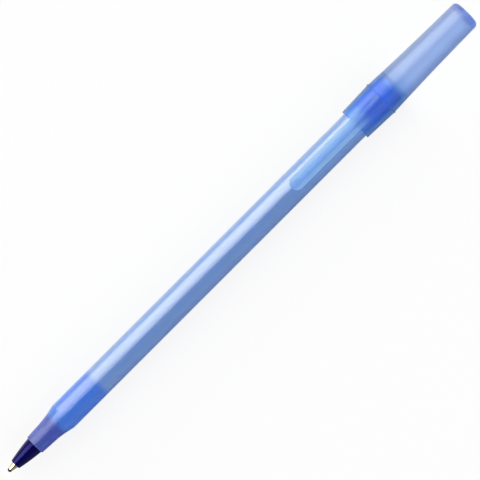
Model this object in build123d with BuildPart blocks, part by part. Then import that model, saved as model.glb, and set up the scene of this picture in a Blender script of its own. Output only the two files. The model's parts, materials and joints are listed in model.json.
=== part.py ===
from build123d import *
from math import atan2, degrees
import os

# Stick ballpoint pen with its cap pushed onto the rear end.
# Millimetres. The pen lies along X, its point towards -X and its clip on top.
# The origin is under the middle of the pen, on the surface that the cap's ring rests on.
# A station is a distance along the pen, measured back from the front of the writing ball.

os.makedirs("parts", exist_ok=True)

# Fits and cuts
press_clearance = 0.01
running_clearance = 0.05
ink_clearance = 0.02
cut_overrun = 0.2

# Writing ball
ball_diameter = 1.0
ball_clearance = 0.02
ball_proud = 0.3

# Brass tip
lip_wall = 0.06
tip_reach = 2.2
tip_shank_radius = 1.0
tip_shank_length = 6.0
tip_wall = 0.35
tip_web = 1.0
tip_channel_radius = 0.3

# Ink tube and ink
tube_diameter = 3.0
tube_wall = 0.5
tube_end_gap = 1.5
ink_air = 18.0

# Tip holder: the dark nose, and the short tail behind it that carries the ink tube
nose_length = 7.1
nose_front_wall = 0.42
nose_step = 0.3
nose_bulge = 0.1
nose_edge_share = 0.6
tail_length = 8.0
tail_wall = 0.7
socket_web = 3.5
tail_edge = 0.4

# Barrel
barrel_diameter = 8.0
barrel_wall = 1.0
barrel_length = 128.9
barrel_draft = 0.02
neck_wall = 0.56
neck_length = 4.6
neck_rise = 0.25
neck_edge_share = 0.4
shoulder_length = 5.5
shoulder_blend = 4.0
front_bore_length = 22.4
bore_step_length = 1.0

# End plug
plug_stem_length = 9.0
plug_head_length = 1.6
plug_head_step = 0.08
plug_edge = 1.0
plug_vent_radius = 0.4

# Cap
cap_length = 40.7
cap_grip = 14.0
cap_wall = 0.59
cap_seat_gap = 0.1
cap_step = 0.35
collar_length = 9.25
collar_flare = 0.31
ring_height = 0.19
ring_width = 0.5
ring_crest_share = 0.5
cap_shoulder_drop = 0.04
cap_end_radius = 4.15
cap_hollow = 0.13
cap_end_edge = 1.3
cap_end_wall = 2.1
cap_tip_wall = 0.95
cap_vent_radius = 1.0
mouth_edge_share = 0.25

# Pocket clip
clip_length = 32.3
clip_width = 3.8
clip_thickness = 1.15
clip_root_thickness = 0.45
clip_tip_thickness = 0.6
clip_gap = 0.95
clip_grip_gap = 0.25
clip_clearance = 0.12
clip_bump_setback = 1.6
clip_bump_length = 4.4
clip_crest_setback = 11.0
clip_nose_length = 3.2
clip_top_width = 1.5
clip_margin = 3.0

# Radii that follow from the sizes above
ball_radius = ball_diameter / 2
seat_radius = ball_radius + ball_clearance
lip_radius = ball_radius + lip_wall
tip_well_radius = tip_shank_radius - tip_wall
tube_radius = tube_diameter / 2
tube_bore_radius = tube_radius - tube_wall
socket_radius = tube_radius + press_clearance
tail_radius = socket_radius + tail_wall
neck_bore_radius = tail_radius + press_clearance
neck_radius = neck_bore_radius + neck_wall
neck_rear_radius = neck_radius + neck_rise
nose_front_radius = tip_shank_radius + nose_front_wall
nose_base_radius = neck_radius - nose_step
barrel_radius = barrel_diameter / 2
barrel_rear_radius = barrel_radius - barrel_draft
barrel_bore_radius = barrel_radius - barrel_wall
plug_head_radius = barrel_rear_radius - plug_head_step
cap_bore_radius = barrel_radius + running_clearance
cap_well_radius = cap_bore_radius - cap_step
cap_well_end_radius = cap_end_radius - cap_tip_wall
mouth_radius = cap_bore_radius + cap_wall
collar_radius = mouth_radius + collar_flare
ring_radius = collar_radius + ring_height
cap_shoulder_radius = collar_radius - cap_shoulder_drop
clip_root_under_radius = collar_radius + clip_clearance
clip_under_radius = max(barrel_radius + clip_gap, mouth_radius + clip_clearance)
clip_bump_radius = barrel_radius + clip_grip_gap
clip_top_radius = clip_under_radius + clip_thickness

# Stations that follow from the sizes above
lip_station = ball_proud
nose_station = lip_station + tip_reach
tip_rear_station = nose_station + tip_shank_length
tip_well_station = nose_station + tip_web
neck_station = nose_station + nose_length
tail_station = neck_station + tail_length
socket_station = tip_rear_station + socket_web
neck_rear_station = neck_station + neck_length
shoulder_station = neck_rear_station + shoulder_length
bore_step_station = neck_station + front_bore_length
bore_station = bore_step_station + bore_step_length
barrel_rear_station = neck_station + barrel_length
plug_front_station = barrel_rear_station - plug_stem_length
plug_rear_station = barrel_rear_station + plug_head_length
tube_rear_station = plug_front_station - tube_end_gap
ink_station = tube_rear_station - ink_air
mouth_station = plug_rear_station - cap_grip
ring_station = mouth_station + collar_length
cap_shoulder_station = ring_station + ring_width
seat_station = plug_rear_station + cap_seat_gap
well_station = seat_station + cap_step
cap_rear_station = mouth_station + cap_length
well_end_station = cap_rear_station - cap_end_wall
clip_root_station = ring_station - clip_clearance
clip_tip_station = clip_root_station - clip_length
barrel_draft_station = clip_tip_station - clip_margin

# The pen's own plane: its x is the station, and its y the distance from the pen's axis.
overall_length = cap_rear_station
side = Plane(origin=(-overall_length / 2, 0, ring_radius), x_dir=(1, 0, 0), z_dir=(0, -1, 0))
pen_axis = Axis(side.origin, side.x_dir)


def corner(profile, station, radius):
    """The corner of a profile that lies nearest to a station and a radius."""
    return profile.vertices().sort_by_distance((station, radius))[0]


# Writing ball
with BuildPart(side) as writing_ball:
    with Locations((ball_radius, 0)):
        Sphere(ball_radius)
writing_ball.part.label = "writing_ball"
export_step(writing_ball.part, "parts/writing_ball.step")

# Brass tip: a cone with a crimped lip round the ball, and a shank that is pressed into the nose
seat_front_radius = (seat_radius**2 - (ball_radius - lip_station) ** 2) ** 0.5
seat_rear_station = ball_radius + (seat_radius**2 - tip_channel_radius**2) ** 0.5
with BuildPart() as brass_tip:
    with BuildSketch(side):
        with BuildLine():
            Polyline(
                (lip_station, seat_front_radius),
                (lip_station, lip_radius),
                (nose_station, tip_shank_radius),
                (tip_rear_station, tip_shank_radius),
                (tip_rear_station, tip_well_radius),
                (tip_well_station, tip_well_radius),
                (tip_well_station, tip_channel_radius),
                (seat_rear_station, tip_channel_radius),
            )
            ThreePointArc(
                (seat_rear_station, tip_channel_radius),
                (ball_radius, seat_radius),
                (lip_station, seat_front_radius),
            )
        make_face()
    revolve(axis=pen_axis)
brass_tip.part.label = "brass_tip"
export_step(brass_tip.part, "parts/brass_tip.step")

# Tip holder: the nose butts on the front of the barrel, and its tail fills the neck's bore
nose_middle_station = (nose_station + neck_station) / 2
nose_middle_radius = (nose_front_radius + nose_base_radius) / 2 + nose_bulge
with BuildPart() as tip_holder:
    with BuildSketch(side) as holder_profile:
        with BuildLine():
            ThreePointArc(
                (nose_station, nose_front_radius),
                (nose_middle_station, nose_middle_radius),
                (neck_station, nose_base_radius),
            )
            Polyline(
                (neck_station, nose_base_radius),
                (neck_station, tail_radius),
                (tail_station, tail_radius),
                (tail_station, socket_radius),
                (socket_station, socket_radius),
                (socket_station, tip_well_radius),
                (tip_rear_station, tip_well_radius),
                (tip_rear_station, tip_shank_radius + press_clearance),
                (nose_station, tip_shank_radius + press_clearance),
                (nose_station, nose_front_radius),
            )
        make_face()
        fillet(corner(holder_profile, nose_station, nose_front_radius), nose_front_wall * nose_edge_share)
        fillet(corner(holder_profile, tail_station, tail_radius), min(tail_edge, tail_wall / 2))
    revolve(axis=pen_axis)
tip_holder.part.label = "tip_holder"
export_step(tip_holder.part, "parts/tip_holder.step")

# Ink tube, seated in the holder's tail and open at the rear
with BuildPart() as ink_tube:
    with BuildSketch(side):
        with BuildLine():
            Polyline(
                (socket_station, tube_bore_radius),
                (socket_station, tube_radius),
                (tube_rear_station, tube_radius),
                (tube_rear_station, tube_bore_radius),
                close=True,
            )
        make_face()
    revolve(axis=pen_axis)
ink_tube.part.label = "ink_tube"
export_step(ink_tube.part, "parts/ink_tube.step")

# Ink: one column from behind the ball, through the brass tip and the holder, up into the tube
ink_front_station = ball_radius + seat_radius + ink_clearance
ink_channel_radius = tip_channel_radius - ink_clearance
ink_well_radius = tip_well_radius - ink_clearance
ink_tube_radius = tube_bore_radius - ink_clearance
with BuildPart() as ink:
    with BuildSketch(side):
        with BuildLine():
            Polyline(
                (ink_front_station, 0),
                (ink_front_station, ink_channel_radius),
                (tip_well_station + ink_clearance, ink_channel_radius),
                (tip_well_station + ink_clearance, ink_well_radius),
                (socket_station + ink_clearance, ink_well_radius),
                (socket_station + ink_clearance, ink_tube_radius),
                (ink_station, ink_tube_radius),
                (ink_station, 0),
                close=True,
            )
        make_face()
    revolve(axis=pen_axis)
ink.part.label = "ink"
export_step(ink.part, "parts/ink.step")

# Barrel: a slim neck, a hollow curve up to a crisp shoulder, then a long round tube,
# with a narrow bore and a thick wall at the front
with BuildPart() as barrel:
    with BuildSketch(side) as barrel_profile:
        with BuildLine():
            Line((neck_station, neck_radius), (neck_rear_station, neck_rear_radius))
            TangentArc(
                (neck_rear_station, neck_rear_radius),
                (shoulder_station, barrel_radius),
                tangent=(neck_length, neck_rise),
            )
            Polyline(
                (shoulder_station, barrel_radius),
                (barrel_draft_station, barrel_radius),
                (barrel_rear_station, barrel_rear_radius),
                (barrel_rear_station, barrel_bore_radius),
                (bore_station, barrel_bore_radius),
                (bore_step_station, neck_bore_radius),
                (neck_station, neck_bore_radius),
                (neck_station, neck_radius),
            )
        make_face()
        fillet(corner(barrel_profile, shoulder_station, barrel_radius), shoulder_blend)
        fillet(corner(barrel_profile, neck_station, neck_radius), nose_step * neck_edge_share)
    revolve(axis=pen_axis)
barrel.part.label = "barrel"
export_step(barrel.part, "parts/barrel.step")

# End plug: a stem in the barrel's bore, a domed head over its rear face, and a small vent
with BuildPart() as end_plug:
    with BuildSketch(side) as plug_profile:
        with BuildLine():
            Polyline(
                (plug_front_station, plug_vent_radius),
                (plug_front_station, barrel_bore_radius - press_clearance),
                (barrel_rear_station, barrel_bore_radius - press_clearance),
                (barrel_rear_station, plug_head_radius),
                (plug_rear_station, plug_head_radius),
                (plug_rear_station, plug_vent_radius),
                close=True,
            )
        make_face()
        fillet(corner(plug_profile, plug_rear_station, plug_head_radius), min(plug_edge, plug_head_length / 2))
    revolve(axis=pen_axis)
end_plug.part.label = "end_plug"
export_step(end_plug.part, "parts/end_plug.step")

# Cap: a flared collar up to a thin ring, then a long hollow tip with a vent in its flat end
ring_slope = ring_width * (1 - ring_crest_share) / 2
cap_middle_station = (cap_shoulder_station + cap_rear_station) / 2
cap_middle_radius = (cap_shoulder_radius + cap_end_radius) / 2 - cap_hollow
with BuildPart() as cap:
    with BuildSketch(side) as cap_profile:
        with BuildLine():
            Polyline(
                (mouth_station, mouth_radius),
                (ring_station, collar_radius),
                (ring_station + ring_slope, ring_radius),
                (cap_shoulder_station - ring_slope, ring_radius),
                (cap_shoulder_station, cap_shoulder_radius),
            )
            ThreePointArc(
                (cap_shoulder_station, cap_shoulder_radius),
                (cap_middle_station, cap_middle_radius),
                (cap_rear_station, cap_end_radius),
            )
            Polyline(
                (cap_rear_station, cap_end_radius),
                (cap_rear_station, cap_vent_radius),
                (well_end_station, cap_vent_radius),
                (well_end_station, cap_well_end_radius),
                (well_station, cap_well_radius),
                (seat_station, cap_bore_radius),
                (mouth_station, cap_bore_radius),
                (mouth_station, mouth_radius),
            )
        make_face()
        fillet(corner(cap_profile, cap_rear_station, cap_end_radius), min(cap_end_edge, cap_end_wall))
        fillet(corner(cap_profile, mouth_station, mouth_radius), cap_wall * mouth_edge_share)
        chamfer(corner(cap_profile, mouth_station, cap_bore_radius), cap_wall * mouth_edge_share)
    revolve(axis=pen_axis)
cap.part.label = "cap"
export_step(cap.part, "parts/cap.step")

# Pocket clip: a strip that follows the round of the barrel, thin at its root beside the ring,
# with a rounded end, sides bevelled up to a narrow top, and a small bump under it that holds the cloth.
# Its outline is a straight block up to its underside, and leans in from there.
clip_strip = Plane(origin=side.origin, x_dir=side.x_dir, z_dir=side.y_dir)
clip_lean = degrees(atan2((clip_width - clip_top_width) / 2, clip_thickness))
with BuildPart() as clip_outline:
    for level, height, lean in (
        (0, clip_under_radius, 0),
        (clip_under_radius, clip_thickness + cut_overrun, clip_lean),
    ):
        with BuildSketch(clip_strip.offset(level)):
            with Locations((clip_tip_station + clip_width / 2, 0)):
                Circle(clip_width / 2)
                Rectangle(clip_length, clip_width, align=(Align.MIN, Align.CENTER))
        extrude(amount=height, taper=lean)

clip_bump_station = clip_tip_station + clip_bump_setback
clip_crest_station = clip_root_station - clip_crest_setback
clip_nose_station = clip_tip_station + clip_nose_length
clip_root_top_radius = clip_root_under_radius + clip_root_thickness
clip_tip_top_radius = clip_under_radius + clip_tip_thickness
with BuildPart() as pocket_clip:
    with BuildSketch(side):
        with BuildLine():
            Line((clip_tip_station, clip_under_radius), (clip_bump_station, clip_under_radius))
            ThreePointArc(
                (clip_bump_station, clip_under_radius),
                (clip_bump_station + clip_bump_length / 2, clip_bump_radius),
                (clip_bump_station + clip_bump_length, clip_under_radius),
            )
            Polyline(
                (clip_bump_station + clip_bump_length, clip_under_radius),
                (mouth_station, clip_under_radius),
                (clip_root_station, clip_root_under_radius),
                (clip_root_station, clip_root_top_radius),
            )
            TangentArc(
                (clip_crest_station, clip_top_radius),
                (clip_root_station, clip_root_top_radius),
                tangent=(1, 0),
            )
            Line((clip_crest_station, clip_top_radius), (clip_nose_station, clip_top_radius))
            TangentArc(
                (clip_nose_station, clip_top_radius),
                (clip_tip_station, clip_tip_top_radius),
                tangent=(-1, 0),
            )
            Line((clip_tip_station, clip_tip_top_radius), (clip_tip_station, clip_under_radius))
        make_face()
    revolve(axis=pen_axis)
    add(clip_outline.part, mode=Mode.INTERSECT)
pocket_clip.part.label = "pocket_clip"
export_step(pocket_clip.part, "parts/pocket_clip.step")
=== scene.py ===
import json
import math

import bpy
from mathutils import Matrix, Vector


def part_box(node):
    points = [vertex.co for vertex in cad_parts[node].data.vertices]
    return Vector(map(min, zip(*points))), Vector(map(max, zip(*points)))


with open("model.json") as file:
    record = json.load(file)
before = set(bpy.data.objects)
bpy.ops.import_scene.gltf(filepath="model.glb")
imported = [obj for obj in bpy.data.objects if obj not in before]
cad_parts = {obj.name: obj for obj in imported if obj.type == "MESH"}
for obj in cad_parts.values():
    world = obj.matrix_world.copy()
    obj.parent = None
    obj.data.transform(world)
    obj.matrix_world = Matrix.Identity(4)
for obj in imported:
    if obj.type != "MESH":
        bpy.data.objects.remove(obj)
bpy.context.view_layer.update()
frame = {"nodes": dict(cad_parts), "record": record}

# Stick ballpoint pen with its cap on the rear end. Metres, in the part's own frame:
# the pen lies along X with its point towards -X, and its clip is on top.

millimetre = 0.001
nodes = frame["nodes"]
barrel_low, barrel_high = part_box("barrel")
cap_low, cap_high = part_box("cap")
axis_height = (barrel_low.z + barrel_high.z) / 2
barrel_radius = (barrel_high.z - barrel_low.z) / 2

# Places along the pen where something that shows through the plastic begins or ends
front_bore_length = 22.9 * millimetre
bore_step_x = barrel_low.x + front_bore_length
holder_end_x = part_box("tip_holder")[1].x
plug_front_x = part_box("end_plug")[0].x
plug_rear_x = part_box("end_plug")[1].x
lip_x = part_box("brass_tip")[0].x

# How far the frosted walls blur such a place, to each side of it
barrel_blur = 0.8 * millimetre
cap_blur = 1.2 * millimetre

# Linear colours
barrel_colour = (0.180, 0.330, 0.770)
barrel_thick_colour = (0.060, 0.215, 0.780)
barrel_neck_colour = (0.058, 0.096, 0.480)
barrel_rear_colour = (0.014, 0.170, 0.780)
# Painted shade: the barrel is darker where the cap's collar covers it, because the cap casts no shadow
barrel_under_collar_shade_colour = (0.130, 0.290, 0.760)
cap_colour = (0.570, 0.672, 0.840)
# Painted shade: the collar's own tint applied twice, for the tinted shadow its wall casts inside, with
# the plug's blue in the frosted wall
cap_collar_painted_shade_colour = (0.320, 0.572, 0.830)
# Painted shade and the plug's painted blue, fading out in the cap's wall just behind the plug
cap_shade_fade_colour = (0.460, 0.615, 0.840)
cap_end_colour = (0.660, 0.760, 0.920)
clip_colour = (0.400, 0.610, 0.820)
plug_colour = (0.014, 0.155, 0.790)
# Painted highlight: the plug's rear end is lighter where its rounded rim catches the key
plug_end_highlight_colour = (0.100, 0.280, 0.780)
nose_colour = (0.002, 0.002, 0.060)
nose_shine_tint = (0.220, 0.200, 1.000)
brass_colour = (0.780, 0.670, 0.390)
stain_colour = (0.020, 0.020, 0.030)
ball_colour = (0.020, 0.020, 0.030)
ink_colour = (0.004, 0.006, 0.100)
tube_colour = (0.720, 0.780, 0.860)

# Tint inside the cap's walls, for each metre that light goes through them
cap_tint = (0.0, 0.324, 0.784)
cap_tint_density = 320.0


def new_material(name):
    """A material; returns it with its node tree and its Principled shader."""
    material = bpy.data.materials.new(name)
    material.use_nodes = True
    tree = material.node_tree
    return material, tree, tree.nodes["Principled BSDF"]


def add(tree, kind, **values):
    """A node of a kind, with its own properties set."""
    node = tree.nodes.new(kind)
    for name, value in values.items():
        setattr(node, name, value)
    return node


def place(tree):
    """The position on the part at rest, in metres."""
    return add(tree, "ShaderNodeTexCoord").outputs["Object"]


def noise(tree, per_metre, detail=3.0, stretch=(1.0, 1.0, 1.0)):
    """A noise of so many grains to the metre, drawn out along an axis by a stretch below 1."""
    mapping = add(tree, "ShaderNodeMapping")
    mapping.inputs["Scale"].default_value = stretch
    texture = add(tree, "ShaderNodeTexNoise")
    texture.inputs["Scale"].default_value = per_metre
    texture.inputs["Detail"].default_value = detail
    tree.links.new(place(tree), mapping.inputs["Vector"])
    tree.links.new(mapping.outputs["Vector"], texture.inputs["Vector"])
    return texture.outputs["Fac"]


def spread(tree, value, low, high, start=0.25, end=0.75):
    """A value between start and end, such as a noise, brought to a range."""
    node = add(tree, "ShaderNodeMapRange")
    node.inputs["From Min"].default_value = start
    node.inputs["From Max"].default_value = end
    node.inputs["To Min"].default_value = low
    node.inputs["To Max"].default_value = high
    tree.links.new(value, node.inputs["Value"])
    return node.outputs["Result"]


def shade(tree, colour, value):
    """A colour or level socket multiplied by a value."""
    node = add(tree, "ShaderNodeVectorMath", operation="SCALE")
    tree.links.new(colour, node.inputs["Vector"])
    tree.links.new(value, node.inputs["Scale"])
    return node.outputs["Vector"]


def flat_colour(tree, colour):
    """A colour as a socket, for a pattern to work on."""
    node = add(tree, "ShaderNodeRGB")
    node.outputs["Color"].default_value = (*colour, 1.0)
    return node.outputs["Color"]


def zones(tree, stops):
    """Colours along the pen: stops are pairs of a place on X and a colour."""
    split = add(tree, "ShaderNodeSeparateXYZ")
    tree.links.new(place(tree), split.inputs["Vector"])
    first, last = stops[0][0], stops[-1][0]
    ramp = add(tree, "ShaderNodeValToRGB")
    elements = ramp.color_ramp.elements
    while len(elements) < len(stops):
        elements.new(0.5)
    for element, (x, colour) in zip(elements, stops):
        element.position = (x - first) / (last - first)
        element.color = (*colour, 1.0)
    share = spread(tree, split.outputs["X"], 0.0, 1.0, start=first, end=last)
    tree.links.new(share, ramp.inputs["Fac"])
    return ramp.outputs["Color"]


def levels(tree, stops):
    """Levels along the pen: stops are pairs of a place on X and a number."""
    return zones(tree, [(x, (level, level, level)) for x, level in stops])


def outside(tree, radius):
    """1 further from the pen's axis than a radius, and 0 nearer to it."""
    mapping = add(tree, "ShaderNodeMapping")
    mapping.inputs["Location"].default_value = (0.0, 0.0, -axis_height)
    mapping.inputs["Scale"].default_value = (0.0, 1.0, 1.0)
    tree.links.new(place(tree), mapping.inputs["Vector"])
    distance = add(tree, "ShaderNodeVectorMath", operation="LENGTH")
    tree.links.new(mapping.outputs["Vector"], distance.inputs["Vector"])
    further = add(tree, "ShaderNodeMath", operation="GREATER_THAN")
    tree.links.new(distance.outputs["Value"], further.inputs[0])
    further.inputs[1].default_value = radius
    return further.outputs["Value"]


def tone(tree, shader, colour, value, low, high):
    """Sets the base colour: a colour socket made darker and lighter by a value, such as a noise."""
    varied = shade(tree, colour, spread(tree, value, low, high))
    tree.links.new(varied, shader.inputs["Base Color"])


def roughen(tree, shader, value, low, high):
    """Sets the roughness by a value, such as a noise."""
    tree.links.new(spread(tree, value, low, high), shader.inputs["Roughness"])


def frost(tree, shader, roughness, value, low, high):
    """Sets the roughness: a level socket made lower and higher by a value, such as a noise."""
    varied = shade(tree, roughness, spread(tree, value, low, high))
    tree.links.new(varied, shader.inputs["Roughness"])


def bump(tree, shader, value, height, strength):
    """Raises the surface by a height where a value is high."""
    node = add(tree, "ShaderNodeBump")
    node.inputs["Distance"].default_value = height
    node.inputs["Strength"].default_value = strength
    tree.links.new(value, node.inputs["Height"])
    tree.links.new(node.outputs["Normal"], shader.inputs["Normal"])


def scatter_inside(shader, depth):
    """Lets light scatter under the surface to a depth, blue the furthest."""
    shader.inputs["Subsurface Weight"].default_value = 0.8
    shader.inputs["Subsurface Radius"].default_value = (0.5, 0.7, 1.0)
    shader.inputs["Subsurface Scale"].default_value = depth


def tint_inside(tree, colour, density):
    """Fills a clear piece with a tint that deepens with the way that light goes through it."""
    tint = add(tree, "ShaderNodeVolumeAbsorption")
    tint.inputs["Color"].default_value = (*colour, 1.0)
    tint.inputs["Density"].default_value = density
    tree.links.new(tint.outputs["Volume"], tree.nodes["Material Output"].inputs["Volume"])


def barrel_plastic():
    """Frosted blue, deeper where the wall is thick, darker over the holder's tail and the plug, and
    with painted shade where the cap's collar covers it.
    """
    material, tree, shader = new_material("barrel_plastic")
    colour = zones(
        tree,
        [
            (barrel_low.x, barrel_neck_colour),
            (holder_end_x - barrel_blur, barrel_neck_colour),
            (holder_end_x + barrel_blur, barrel_thick_colour),
            (bore_step_x - barrel_blur, barrel_thick_colour),
            (bore_step_x + barrel_blur, barrel_colour),
            (cap_low.x - barrel_blur, barrel_colour),
            # painted shade under the cap's collar
            (cap_low.x + barrel_blur, barrel_under_collar_shade_colour),
            (plug_front_x - barrel_blur, barrel_under_collar_shade_colour),
            (plug_front_x + barrel_blur, barrel_rear_colour),
            (barrel_high.x, barrel_rear_colour),
        ],
    )
    flow = noise(tree, per_metre=900.0, stretch=(0.08, 1.0, 1.0))
    tone(tree, shader, colour, flow, low=0.95, high=1.05)
    grain = noise(tree, per_metre=5200.0, detail=2.0)
    neck_roughness, body_roughness, rear_roughness = 0.56, 0.31, 0.93
    rub_length = 5.0 * millimetre
    roughness = levels(
        tree,
        [
            (holder_end_x - barrel_blur, neck_roughness),
            (holder_end_x + barrel_blur, body_roughness),
            (plug_front_x - rub_length, body_roughness),
            (plug_front_x, rear_roughness),
        ],
    )
    frost(tree, shader, roughness, grain, low=0.87, high=1.13)
    bump(tree, shader, grain, height=0.02 * millimetre, strength=0.15)
    shader.inputs["IOR"].default_value = 1.5
    scatter_inside(shader, depth=4.0 * millimetre)
    neck_pearl, thick_pearl, body_pearl, rear_pearl = 0.5, 0.75, 1.0, 0.0
    pearl = levels(
        tree,
        [
            (holder_end_x - barrel_blur, neck_pearl),
            (holder_end_x + barrel_blur, thick_pearl),
            (bore_step_x - barrel_blur, thick_pearl),
            (bore_step_x + barrel_blur, body_pearl),
            (plug_front_x - barrel_blur, body_pearl),
            (plug_front_x + barrel_blur, rear_pearl),
        ],
    )
    tree.links.new(pearl, shader.inputs["Coat Weight"])
    shader.inputs["Coat Roughness"].default_value = 0.3
    shader.inputs["Coat IOR"].default_value = 1.75
    return material


# The cap and the clip stay above a roughness of 0.28: below it, what shows through them renders grainy
def cap_plastic():
    """Frosted clear blue: its collar is clearer, and its tip is milkier, with a satin skin outside. The
    collar is painted a deeper blue, for the tinted shade its wall casts on what is inside and the
    plug's blue in the frosted wall.
    """
    material, tree, shader = new_material("cap_plastic")
    collar_end_x = plug_rear_x - cap_blur
    tip_start_x = plug_rear_x + cap_blur
    shaded_length = 3.0 * millimetre
    end_start, end_depth = 3.0 * millimetre, 1.0 * millimetre
    colour = zones(
        tree,
        [
            # painted shade and the plug's painted blue in the collar
            (collar_end_x, cap_collar_painted_shade_colour),
            # the painted shade fades out behind the plug
            (tip_start_x, cap_shade_fade_colour),
            (tip_start_x + shaded_length, cap_colour),
            (cap_high.x - end_start, cap_colour),
            (cap_high.x - end_depth, cap_end_colour),
        ],
    )
    flow = noise(tree, per_metre=700.0, stretch=(0.15, 1.0, 1.0))
    tone(tree, shader, colour, flow, low=0.97, high=1.03)
    grain = noise(tree, per_metre=4200.0, detail=2.0)
    collar_roughness, tip_roughness = 0.32, 0.36
    roughness = levels(tree, [(collar_end_x, collar_roughness), (tip_start_x, tip_roughness)])
    frost(tree, shader, roughness, grain, low=0.92, high=1.08)
    bump(tree, shader, grain, height=0.02 * millimetre, strength=0.12)
    shader.inputs["IOR"].default_value = 1.35
    collar_clear, tip_clear = 0.96, 0.85
    clear = levels(tree, [(collar_end_x, collar_clear), (tip_start_x, tip_clear)])
    tree.links.new(clear, shader.inputs["Transmission Weight"])
    collar_skin, tip_skin = 0.18, 1.0
    skin = levels(tree, [(collar_end_x, collar_skin), (tip_start_x, tip_skin)])
    bore_margin = 0.1 * millimetre
    outer_skin = shade(tree, skin, outside(tree, barrel_radius + bore_margin))
    tree.links.new(outer_skin, shader.inputs["Coat Weight"])
    shader.inputs["Coat Roughness"].default_value = 0.36
    shader.inputs["Coat IOR"].default_value = 1.45
    tint_inside(tree, cap_tint, cap_tint_density)
    return material


def clip_plastic():
    """Frosted clear blue with a satin bloom, most on its bevels, that fades out over the collar."""
    material, tree, shader = new_material("clip_plastic")
    flow = noise(tree, per_metre=700.0, stretch=(0.15, 1.0, 1.0))
    tone(tree, shader, flat_colour(tree, clip_colour), flow, low=0.97, high=1.03)
    grain = noise(tree, per_metre=4200.0, detail=2.0)
    roughen(tree, shader, grain, low=0.285, high=0.325)
    bump(tree, shader, grain, height=0.02 * millimetre, strength=0.12)
    shader.inputs["IOR"].default_value = 1.38
    split = add(tree, "ShaderNodeSeparateXYZ")
    tree.links.new(place(tree), split.inputs["Vector"])
    from_middle = add(tree, "ShaderNodeMath", operation="ABSOLUTE")
    tree.links.new(split.outputs["Y"], from_middle.inputs[0])
    off_middle = from_middle.outputs["Value"]
    bevel_start, bevel_end = 0.7 * millimetre, 0.9 * millimetre
    top_satin, bevel_satin = 0.20, 0.45
    satin = spread(tree, off_middle, top_satin, bevel_satin, start=bevel_start, end=bevel_end)
    fade_start_x = cap_low.x - 3.0 * millimetre
    fade_end_x = cap_low.x + 4.0 * millimetre
    free_part = levels(tree, [(fade_start_x, 1.0), (fade_end_x, 0.0)])
    clear = add(tree, "ShaderNodeMath", operation="SUBTRACT")
    clear.inputs[0].default_value = 1.0
    tree.links.new(shade(tree, free_part, satin), clear.inputs[1])
    tree.links.new(clear.outputs["Value"], shader.inputs["Transmission Weight"])
    return material


def plug_plastic():
    """Deep blue, with a painted highlight that lightens it towards its rear end, and light scattered
    inside it.
    """
    material, tree, shader = new_material("plug_plastic")
    # A painted highlight lightens the rear end over this length
    highlight_length = 1.4 * millimetre
    colour = zones(tree, [(plug_rear_x - highlight_length, plug_colour), (plug_rear_x, plug_end_highlight_colour)])
    flow = noise(tree, per_metre=600.0)
    tone(tree, shader, colour, flow, low=0.9, high=1.1)
    grain = noise(tree, per_metre=5000.0, detail=2.0)
    roughen(tree, shader, grain, low=0.25, high=0.35)
    bump(tree, shader, grain, height=0.01 * millimetre, strength=0.1)
    scatter_inside(shader, depth=6.0 * millimetre)
    return material


def nose_plastic():
    """Dark navy, with a bluish shine."""
    material, tree, shader = new_material("nose_plastic")
    flow = noise(tree, per_metre=800.0, stretch=(0.2, 1.0, 1.0))
    tone(tree, shader, flat_colour(tree, nose_colour), flow, low=0.85, high=1.15)
    grain = noise(tree, per_metre=6000.0, detail=2.0)
    roughen(tree, shader, grain, low=0.09, high=0.14)
    bump(tree, shader, grain, height=0.01 * millimetre, strength=0.1)
    shader.inputs["Specular IOR Level"].default_value = 0.5
    shader.inputs["Specular Tint"].default_value = (*nose_shine_tint, 1.0)
    return material


def tip_brass():
    """Brass with turning marks round it, and ink on its lip."""
    material, tree, shader = new_material("tip_brass")
    stain_start, stain_end = 0.25 * millimetre, 0.5 * millimetre
    colour = zones(tree, [(lip_x + stain_start, stain_colour), (lip_x + stain_end, brass_colour)])
    turning = noise(tree, per_metre=14000.0, detail=1.0, stretch=(1.0, 0.02, 0.02))
    tone(tree, shader, colour, turning, low=0.9, high=1.1)
    roughen(tree, shader, turning, low=0.08, high=0.16)
    bump(tree, shader, turning, height=0.01 * millimetre, strength=0.2)
    shader.inputs["Metallic"].default_value = 1.0
    return material


def ball_metal():
    """Metal under a film of ink."""
    material, tree, shader = new_material("ball_metal")
    film = noise(tree, per_metre=1800.0)
    tone(tree, shader, flat_colour(tree, ball_colour), film, low=0.4, high=1.1)
    roughen(tree, shader, film, low=0.35, high=0.15)
    shader.inputs["Metallic"].default_value = 1.0
    return material


def ink_paste():
    """Dark blue and wet."""
    material, tree, shader = new_material("ink_paste")
    flow = noise(tree, per_metre=900.0)
    tone(tree, shader, flat_colour(tree, ink_colour), flow, low=0.9, high=1.1)
    roughen(tree, shader, flow, low=0.12, high=0.18)
    return material


def tube_plastic():
    """Milky white, drawn out along the tube."""
    material, tree, shader = new_material("tube_plastic")
    flow = noise(tree, per_metre=900.0, stretch=(0.1, 1.0, 1.0))
    tone(tree, shader, flat_colour(tree, tube_colour), flow, low=0.97, high=1.03)
    roughen(tree, shader, flow, low=0.26, high=0.34)
    return material


finishes = {
    "barrel_plastic": barrel_plastic(),
    "plug_plastic": plug_plastic(),
    "nose_plastic": nose_plastic(),
    "tip_brass": tip_brass(),
    "ball_metal": ball_metal(),
    "tube_plastic": tube_plastic(),
    "ink_paste": ink_paste(),
    "cap_plastic": cap_plastic(),
}
for subpart in frame["record"]["subparts"]:
    piece = nodes[subpart["node"]]
    piece.data.materials.clear()
    piece.data.materials.append(finishes[subpart["material_slot"]])
nodes["pocket_clip"].data.materials[0] = clip_plastic()

# The clear pieces let the lamps' light through to what is inside and under them
for clear_piece in ("cap", "pocket_clip"):
    nodes[clear_piece].visible_shadow = False


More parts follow.
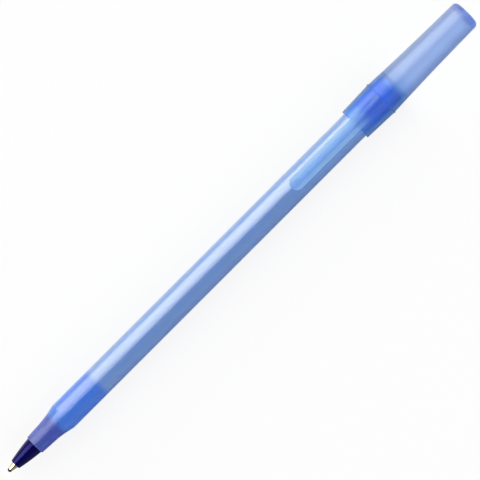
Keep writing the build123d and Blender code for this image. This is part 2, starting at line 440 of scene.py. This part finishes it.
def seen_directly(tree):
    """1 where the camera sees a surface, by itself, in a reflection or through a clear piece."""
    path = add(tree, "ShaderNodeLightPath")
    by_eye_or_mirror = add(tree, "ShaderNodeMath", operation="MAXIMUM")
    tree.links.new(path.outputs["Is Camera Ray"], by_eye_or_mirror.inputs[0])
    tree.links.new(path.outputs["Is Glossy Ray"], by_eye_or_mirror.inputs[1])
    by_any = add(tree, "ShaderNodeMath", operation="MAXIMUM")
    tree.links.new(by_eye_or_mirror.outputs["Value"], by_any.inputs[0])
    tree.links.new(path.outputs["Is Transmission Ray"], by_any.inputs[1])
    return by_any.outputs["Value"]


# Floor: white to the camera, with the pen's soft shadow kept in it
floor_half = 6.0
floor_level = 0.95
floor_glow_share = 0.85


def floor_paper():
    """White paper that glows a little where it is seen."""
    material = bpy.data.materials.new("floor_paper")
    material.use_nodes = True
    tree = material.node_tree
    tree.nodes.clear()
    paper = add(tree, "ShaderNodeBsdfDiffuse")
    paper.inputs["Color"].default_value = (floor_level, floor_level, floor_level, 1.0)
    glow = add(tree, "ShaderNodeEmission")
    share = add(tree, "ShaderNodeMath", operation="MULTIPLY")
    share.inputs[1].default_value = floor_glow_share
    mix = add(tree, "ShaderNodeMixShader")
    output = add(tree, "ShaderNodeOutputMaterial")
    tree.links.new(seen_directly(tree), share.inputs[0])
    tree.links.new(share.outputs["Value"], mix.inputs["Fac"])
    tree.links.new(paper.outputs["BSDF"], mix.inputs[1])
    tree.links.new(glow.outputs["Emission"], mix.inputs[2])
    tree.links.new(mix.outputs["Shader"], output.inputs["Surface"])
    return material


def sheet(name, x_half, y_low, y_high, z, material):
    """A flat rectangle of the stage, which isn't part of the pen."""
    mesh = bpy.data.meshes.new(name)
    corners = [(-x_half, y_low, z), (x_half, y_low, z), (x_half, y_high, z), (-x_half, y_high, z)]
    mesh.from_pydata(corners, [], [(0, 1, 2, 3)])
    mesh.materials.append(material)
    flat = bpy.data.objects.new(name, mesh)
    bpy.context.scene.collection.objects.link(flat)
    return flat


sheet("floor", floor_half, -floor_half, floor_half, 0.0, floor_paper())

# A grey card on the floor, on the side away from the key, shows only in reflections.
# It keeps that edge of the pen dark.
card_half = 0.4
card_far = -0.4
card_near = -6.0 * millimetre
card_height = 0.2 * millimetre
card_level = 0.2
card_grey, _, card_shader = new_material("card_grey")
card_shader.inputs["Base Color"].default_value = (card_level, card_level, card_level, 1.0)
card_shader.inputs["Roughness"].default_value = 1.0
card = sheet("grey_card", card_half, card_far, card_near, card_height, card_grey)
card.visible_camera = False
card.visible_diffuse = False
card.visible_transmission = False
card.visible_shadow = False

# World: white studio walls under a darker ceiling
wall_level = 0.48
ceiling_level = 0.04
world = bpy.data.worlds.new("studio")
bpy.context.scene.world = world
world.use_nodes = True
world_tree = world.node_tree
background = world_tree.nodes["Background"]
background.inputs["Color"].default_value = (1.0, 1.0, 1.0, 1.0)
direction = add(world_tree, "ShaderNodeSeparateXYZ")
sky_place = add(world_tree, "ShaderNodeTexCoord").outputs["Generated"]
world_tree.links.new(sky_place, direction.inputs["Vector"])
sky = spread(world_tree, direction.outputs["Z"], wall_level, ceiling_level, start=0.0, end=1.0)
world_tree.links.new(sky, background.inputs["Strength"])


def softbox(name, tilt_degrees, distance, size, radiance, tint, along=0.0):
    """A rectangular lamp of an even radiance, tilted from above the pen, square to a place along it."""
    lamp = bpy.data.lights.new(name, "AREA")
    lamp.shape = "RECTANGLE"
    lamp.size, lamp.size_y = size
    lamp.energy = radiance * math.pi * lamp.size * lamp.size_y
    lamp.color = tint
    holder = bpy.data.objects.new(name, lamp)
    bpy.context.scene.collection.objects.link(holder)
    tilt = math.radians(tilt_degrees)
    towards = Vector((0.0, math.sin(tilt), math.cos(tilt)))
    holder.location = Vector((along, 0.0, axis_height)) + towards * distance
    holder.rotation_euler = towards.to_track_quat("Z", "Y").to_euler()
    return holder


# The key stands beside the pen: strips of soft light, with dimmer ones at its upper edge.
# A strip is a tilt in degrees and a level.
key_tint = (1.0, 0.99, 0.92)
key_distance = 1.2
key_strip = (0.56, 0.21)
key_level = 4.8
key_along = 0.05
key_upper_strips = [(8, 0.9), (18, 3.8)]
key_full_strips = [(tilt, key_level) for tilt in range(28, 79, 10)]
for strip_tilt, strip_level in key_upper_strips + key_full_strips:
    softbox(f"key_{strip_tilt}", strip_tilt, key_distance, key_strip, strip_level, key_tint, key_along)

# A panel ahead of the pen, which lights no matt surface, carries the key on over the cone of the nose
gleam_tilt = 40
gleam_size = (0.4, 1.1)
gleam_along = -0.6
gleam = softbox("gleam", gleam_tilt, key_distance, gleam_size, key_level, key_tint, gleam_along)
gleam.visible_diffuse = False

# The fill lights the other side softly, and doesn't show in reflections
fill_tint = (0.96, 1.0, 1.12)
fill_tilt = -40
fill_distance = 1.0
fill_size = (1.4, 0.9)
fill_level = 1.25
fill = softbox("fill", fill_tilt, fill_distance, fill_size, fill_level, fill_tint)
fill.visible_glossy = False

# Camera: straight above the pen, turned so that the pen runs from the lower left to the upper right
pixels = 480
pixels_per_metre = 3888.0
lens_length = 300.0
sensor_width = 36.0
camera_x, camera_y = 0.813 * millimetre, -0.045 * millimetre
camera_turn = -math.pi / 4
camera_reach = 20.0
view_width = pixels / pixels_per_metre
camera_distance = view_width * lens_length / sensor_width
camera_data = bpy.data.cameras.new("camera")
camera_data.lens = lens_length
camera_data.sensor_width = sensor_width
camera_data.clip_end = camera_reach
camera = bpy.data.objects.new("camera", camera_data)
bpy.context.scene.collection.objects.link(camera)
camera.location = (camera_x, camera_y, axis_height + camera_distance)
camera.rotation_euler = (0.0, 0.0, camera_turn)
bpy.context.scene.camera = camera

bpy.context.scene.view_settings.view_transform = "Standard"
